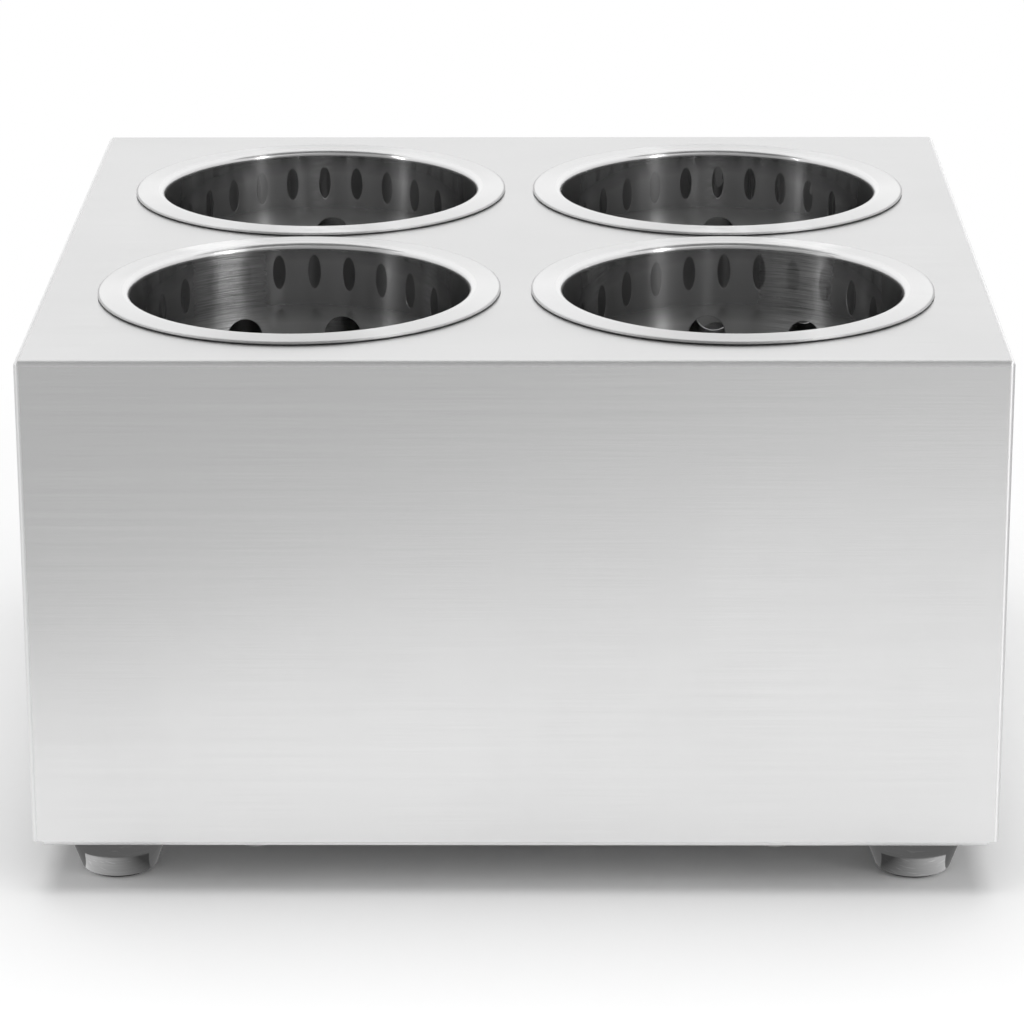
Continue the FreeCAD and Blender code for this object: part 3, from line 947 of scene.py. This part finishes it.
screws = grown(
    "base_screws_with_recess", screw_tree,
    {"Side X": screws_high.x - SCREW_HEAD_RADIUS, "Side Y": housing_high.y - SCREW_FROM_CORNER,
     "End X": housing_high.x - SCREW_FROM_CORNER, "End Y": screws_high.y - SCREW_HEAD_RADIUS,
     "Seed": SCREW_SEED, "Finish": fastener},
    screw_mesh,
)
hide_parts("base_screws")
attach(screws, "housing")
print("base screws:", len(screws.data.polygons), "faces")

# %% [markdown]
# The other solids are right as they are, and most are hidden inside. They keep their meshes and only
# get better finishes.

# %% Finishes on the solids that stay
STAYING = {
    "base_plate": plain_sheet,
    "clinch_nuts": fastener,
    "foot_pad": pad_rubber,
    "foot_washer": fastener,
    "foot_screw": fastener,
    "cup_bottom": cup_disc,
}
for name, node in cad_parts.items():
    for start, finish in STAYING.items():
        if name.startswith(start):
            for slot in node.material_slots:
                slot.material = finish
print("solids with new finishes:", sum(n.startswith(tuple(STAYING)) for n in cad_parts))

# %% [markdown]
# The studio is a white floor under a white sky. Both are plain white to the camera and in reflections,
# and the floor close to the holder is left as lit, so that it keeps the shadow. Strong lamps could burn
# the background out to white, but they would wash out the metal too. The Light Path node tells rays
# apart instead, so the background stays white whatever the lamps do.

# %% Floor and sky
FLOOR_HALF = 4.0
FLOOR_BRIGHTNESS = 0.9
LIT_FLOOR = (0.26, 0.42)
SKY_FILL = 0.52


def seen_directly(wires):
    """1 for rays from the camera and for reflections and refractions, 0 for soft light."""
    path = wires.node("ShaderNodeLightPath").outputs
    seen = wires.math("MAXIMUM", path["Is Camera Ray"], path["Is Glossy Ray"])
    return wires.math("MAXIMUM", seen, path["Is Transmission Ray"])


floor_finish, wires, shader = fresh_material("white_floor")
shader.inputs["Base Color"].default_value = (FLOOR_BRIGHTNESS,) * 3 + (1,)
shader.inputs["Roughness"].default_value = 1.0
shader.inputs["Specular IOR Level"].default_value = 0.0
away = wires.node("ShaderNodeVectorMath", object_place(wires), operation="LENGTH").outputs["Value"]
open_floor = wires.math("MULTIPLY", wires.ramp(away, *LIT_FLOOR, 0.0, 1.0), seen_directly(wires))
glow = wires.node("ShaderNodeEmission", (1, 1, 1, 1), 1.0)
surface = wires.node("ShaderNodeMixShader", open_floor, shader.outputs[0], glow.outputs[0])
output = floor_finish.node_tree.nodes["Material Output"]
wires.feed(output.inputs["Surface"], surface.outputs[0])

floor_mesh = bpy.data.meshes.new("floor")
floor_corners = [(-1, -1), (1, -1), (1, 1), (-1, 1)]
floor_mesh.from_pydata([(x * FLOOR_HALF, y * FLOOR_HALF, 0) for x, y in floor_corners], [], [(0, 1, 2, 3)])
floor = show(bpy.data.objects.new("floor", floor_mesh))
floor_mesh.materials.append(floor_finish)

world = bpy.data.worlds.new("white_sky")
world.use_nodes = True
scene.world = world
wires = Wires(world.node_tree)
sky = world.node_tree.nodes["Background"]
sky.inputs["Color"].default_value = (1, 1, 1, 1)
wires.feed(sky.inputs["Strength"], wires.blend(SKY_FILL, 1.0, seen_directly(wires)))
print("floor", 2 * FLOOR_HALF, "m wide, sky fill", SKY_FILL)

# %% [markdown]
# Polished metal is only as interesting as what it reflects, so dark cards stand where a photographer
# would put them: one in front, which shades the front panel from the top down and comes nearer on the
# left, one overhead, and low ones round the other three sides. Only reflections see the cards. A
# picture of a studio on the sky could do this too, but a card's distance and edges are easier to
# adjust.


# %% Dark cards
def dark_card(name, corners, glow_level):
    """A plain card that only reflections see."""
    mesh = bpy.data.meshes.new(name)
    mesh.from_pydata(corners, [], [range(len(corners))])
    card = show(bpy.data.objects.new(name, mesh))
    finish, wires, shader = fresh_material(name)
    shader.inputs["Base Color"].default_value = (0, 0, 0, 1)
    shader.inputs["Specular IOR Level"].default_value = 0.0
    shader.inputs["Emission Color"].default_value = (glow_level,) * 3 + (1,)
    shader.inputs["Emission Strength"].default_value = 1.0
    mesh.materials.append(finish)
    card.visible_camera = False
    card.visible_diffuse = False
    card.visible_transmission = False
    card.visible_shadow = False
    return card


def shade_across(card, first_x, last_x, glow_levels):
    """Lets a card's glow change evenly from one place to another along X."""
    tree = card.active_material.node_tree
    wires = Wires(tree)
    across = wires.node("ShaderNodeSeparateXYZ", object_place(wires)).outputs[0]
    glow = grey(wires, wires.ramp(across, first_x, last_x, *glow_levels))
    wires.feed(tree.nodes["Principled BSDF"].inputs["Emission Color"], glow)


FRONT_CARD_LEFT = (-0.4, -0.14)
FRONT_CARD_RIGHT = (0.9, -1.13)
FRONT_CARD_TOP = 0.56
FRONT_CARD_GLOW = (0.52, 0.43)
FRONT_CARD_SHADED = (-0.2, 0.25)
CEILING_Z = 0.9
CEILING_HALF_WIDTH = 0.8
CEILING_FRONT = -0.62
CEILING_BACK = 0.05
CEILING_GLOW = 0.06

front_card = dark_card("front_card", [
    (*FRONT_CARD_LEFT, 0),
    (*FRONT_CARD_RIGHT, 0),
    (*FRONT_CARD_RIGHT, FRONT_CARD_TOP),
    (*FRONT_CARD_LEFT, FRONT_CARD_TOP),
], FRONT_CARD_GLOW[0])
shade_across(front_card, *FRONT_CARD_SHADED, FRONT_CARD_GLOW)
dark_card("ceiling_card", [
    (-CEILING_HALF_WIDTH, CEILING_FRONT, CEILING_Z),
    (CEILING_HALF_WIDTH, CEILING_FRONT, CEILING_Z),
    (CEILING_HALF_WIDTH, CEILING_BACK, CEILING_Z),
    (-CEILING_HALF_WIDTH, CEILING_BACK, CEILING_Z),
], CEILING_GLOW)

LOW_CARD_AWAY = 0.4
LOW_CARD_HALF_WIDTH = 0.6
LOW_CARD_TOP = 0.17
LOW_CARD_WAYS = {"left": (-1, 0), "right": (1, 0), "back": (0, 1)}
LOW_CARD_GLOW = {"left": 0.45, "right": 0.2, "back": 0.45}

for name, way in LOW_CARD_WAYS.items():
    middle = Vector((*way, 0)) * LOW_CARD_AWAY
    sideways = Vector((way[1], -way[0], 0)) * LOW_CARD_HALF_WIDTH
    raised = Vector((0, 0, LOW_CARD_TOP))
    start = middle - sideways
    end = middle + sideways
    dark_card(f"low_card_{name}", [start, end, end + raised, start + raised], LOW_CARD_GLOW[name])
print("cards in place")

# %% [markdown]
# The feet are small mirrors that look down at the floor right in front of them. In the photo they show
# a dark band above a patch that is bright on its outer side. A cone bends a straight card into odd
# shapes, so the cards follow the cone: a dark disc round each front foot, and on it a fan that opens
# towards the front.

# %% Cards for the feet
DISC_RADIUS = 30 * MM
DISC_Z = 0.3 * MM
DISC_GLOW = 0.2
FAN_RADIUS = 17 * MM
FAN_HALF_ANGLE = math.radians(70)
FAN_Z = 0.6 * MM
FAN_GLOW = (0.08, 0.8)
FAN_GLOW_REACH = 11 * MM
RIM_POINTS = 32


def round_foot(x, y, radius, half_angle, z):
    """Points on the floor round a foot. The middle of their arc is straight in front of it."""
    turns = [half_angle * (2 * point / RIM_POINTS - 1) for point in range(RIM_POINTS)]
    return [(x + radius * math.sin(turn), y - radius * math.cos(turn), z) for turn in turns]


# The disc is a painted shadow: it stands for the shade under the box, and only the feet's reflections see
# it. The fan is painted light: its glow, brightest on the outer side, stands for lit floor.
for corner in ("front_left", "front_right"):
    foot_low, foot_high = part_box(f"foot_{corner}")
    x = (foot_low.x + foot_high.x) / 2
    y = (foot_low.y + foot_high.y) / 2
    dark_card(f"foot_disc_{corner}", round_foot(x, y, DISC_RADIUS, math.pi, DISC_Z), DISC_GLOW)
    fan_corners = round_foot(x, y, FAN_RADIUS, FAN_HALF_ANGLE, FAN_Z) + [(x, y, FAN_Z)]
    fan = dark_card(f"foot_fan_{corner}", fan_corners, FAN_GLOW[1])
    reach = math.copysign(FAN_GLOW_REACH, x)
    shade_across(fan, x - reach, x + reach, FAN_GLOW)
    print(fan.name, "in place")

# %% [markdown]
# Two tall strip softboxes stand to the left and right of the camera. They draw the narrow streaks in
# the cups and the soft shadows on the floor. The right one is stronger.

# %% Softboxes
SOFTBOX_WIDTH = 0.16
SOFTBOX_TALL = 0.7
SOFTBOX_DISTANCE = 1.5
SOFTBOX_ELEVATION = math.radians(25)
LEFT_AZIMUTH = math.radians(-64)
RIGHT_AZIMUTH = math.radians(50)
LEFT_POWER = 1.75
RIGHT_POWER = 3.6


def softbox(name, azimuth, power):
    """A tall area light that faces the holder from the given angle beside the camera."""
    data = bpy.data.lights.new(name, "AREA")
    data.shape = "RECTANGLE"
    data.size = SOFTBOX_WIDTH
    data.size_y = SOFTBOX_TALL
    data.energy = power
    lamp = show(bpy.data.objects.new(name, data))
    level = math.cos(SOFTBOX_ELEVATION) * SOFTBOX_DISTANCE
    towards = Vector((
        level * math.sin(azimuth),
        -level * math.cos(azimuth),
        SOFTBOX_DISTANCE * math.sin(SOFTBOX_ELEVATION),
    ))
    lamp.location = towards
    lamp.rotation_euler = towards.to_track_quat("Z", "Y").to_euler()
    return lamp


softbox("softbox_left", LEFT_AZIMUTH, LEFT_POWER)
softbox("softbox_right", RIGHT_AZIMUTH, RIGHT_POWER)
print("softboxes at", SOFTBOX_DISTANCE, "m")

# %% [markdown]
# A wide lamp high above lights the floor from overhead, as a studio ceiling does, so that the shadow is
# darkest under the box. Metal would show it as one more white patch, so reflections leave it out.

# %% Overhead lamp
OVERHEAD_SIZE = 2.0
OVERHEAD_HEIGHT = 2.2
OVERHEAD_POWER = 32.5

overhead_data = bpy.data.lights.new("overhead_lamp", "AREA")
overhead_data.size = OVERHEAD_SIZE
overhead_data.energy = OVERHEAD_POWER
overhead = show(bpy.data.objects.new("overhead_lamp", overhead_data))
overhead.location = (0, 0, OVERHEAD_HEIGHT)
overhead.visible_glossy = False
print("overhead lamp at", OVERHEAD_HEIGHT, "m")
